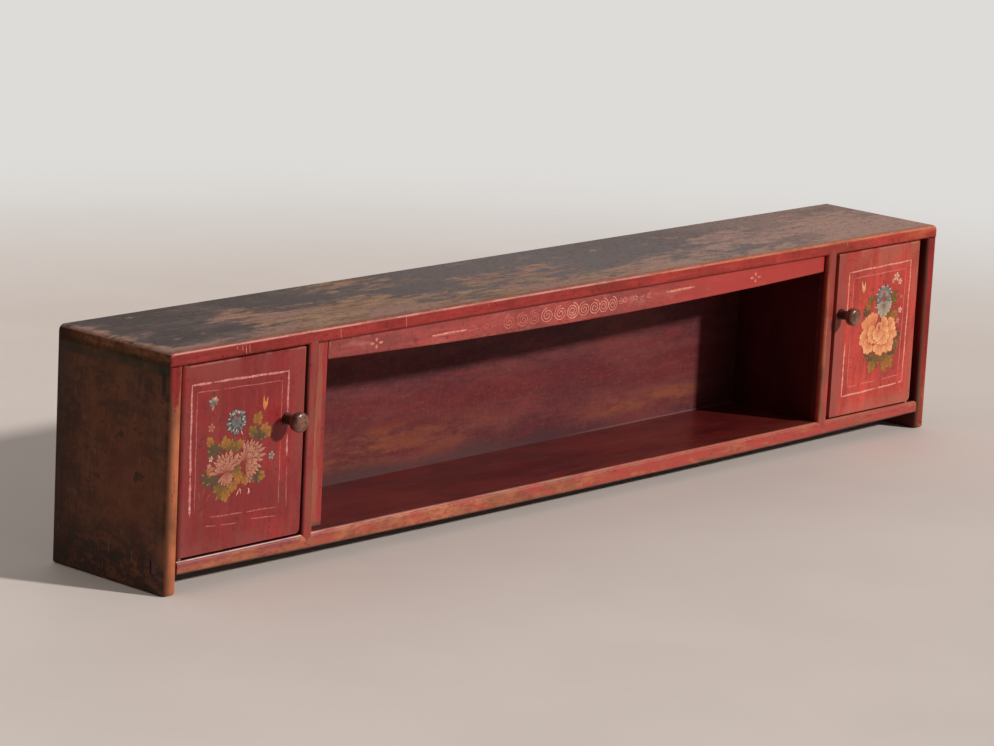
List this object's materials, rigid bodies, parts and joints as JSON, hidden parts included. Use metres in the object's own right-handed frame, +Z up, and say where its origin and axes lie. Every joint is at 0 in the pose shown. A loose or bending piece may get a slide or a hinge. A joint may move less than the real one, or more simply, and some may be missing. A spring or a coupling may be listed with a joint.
{
  "type": "kang cabinet",
  "caption": "Long, low lacquered wood cabinet for a heated brick bed, with an open niche between pivot-hung doors and painted ornament.",
  "frame": {"origin": "on the floor, at the middle of the outer box, knobs included", "axes": "+X along the length, to the right as seen from the front; -Y out of the doors; +Z up"},
  "size_m": [1.704, 0.2578, 0.34],
  "materials": {
    "top_lacquer": "grey-black lacquer, worn to orange-brown wood in streaks along the length, soft gloss",
    "red_lacquer": "worn red lacquer, orange wood at the rubbed edges, satin",
    "end_wood": "thin dark brown varnish over grain, worn",
    "back_wood": "faded dull red paint with brown streaks, matt",
    "floor_lacquer": "deep dark red lacquer, glossy",
    "inner_lacquer": "dark red lacquer, satin",
    "knob_wood": "turned hardwood, varnished, glossy",
    "bare_wood": "bare aged wood, matt",
    "peg_wood": "bare bamboo, matt",
    "iron": "dark iron with rust",
    "ornament_paint": "thin hand-painted ornament on the lacquer, worn"
  },
  "bodies": {
    "carcass": {"top_board": "top_lacquer", "left_end_panel": "end_wood", "right_end_panel": "end_wood", "front_rail": "red_lacquer", "floor_board": "floor_lacquer", "lower_back_board": "back_wood", "upper_back_board": "back_wood", "back_nails": "iron", "apron": "red_lacquer", "apron_pegs": "peg_wood", "jamb_strip": "red_lacquer", "left_partition": "inner_lacquer", "right_partition": "inner_lacquer", "left_post": "red_lacquer", "right_post": "red_lacquer", "left_door_stop": "bare_wood", "right_door_stop": "bare_wood"},
    "left_door": {"left_door": "red_lacquer", "left_door_lower_batten": "bare_wood", "left_door_upper_batten": "bare_wood", "left_door_pivot_pins": "bare_wood", "left_door_pivot_nails": "iron"},
    "left_knob": {"left_knob": "knob_wood", "left_latch": "bare_wood", "left_latch_peg": "peg_wood"},
    "right_door": {"right_door": "red_lacquer", "right_door_lower_batten": "bare_wood", "right_door_upper_batten": "bare_wood", "right_door_pivot_pins": "bare_wood", "right_door_pivot_nails": "iron"},
    "right_knob": {"right_knob": "knob_wood", "right_latch": "bare_wood", "right_latch_peg": "peg_wood"}
  },
  "joints": [
    {"name": "left_door_swing", "type": "hinge", "parent": "carcass", "child": "left_door", "pos_m": [-0.8185, -0.0876, 0.18275], "axis": [0, 0, -1], "range_deg": [0, 95]},
    {"name": "left_knob_turn", "type": "hinge", "parent": "left_door", "child": "left_knob", "pos_m": [-0.628, -0.0956, 0.219], "axis": [0, -1, 0], "range_deg": [0, 90]},
    {"name": "right_door_swing", "type": "hinge", "parent": "carcass", "child": "right_door", "pos_m": [0.807, -0.0876, 0.18275], "axis": [0, 0, 1], "range_deg": [0, 95]},
    {"name": "right_knob_turn", "type": "hinge", "parent": "right_door", "child": "right_knob", "pos_m": [0.611, -0.0956, 0.219], "axis": [0, 1, 0], "range_deg": [0, 90]}
  ]
}
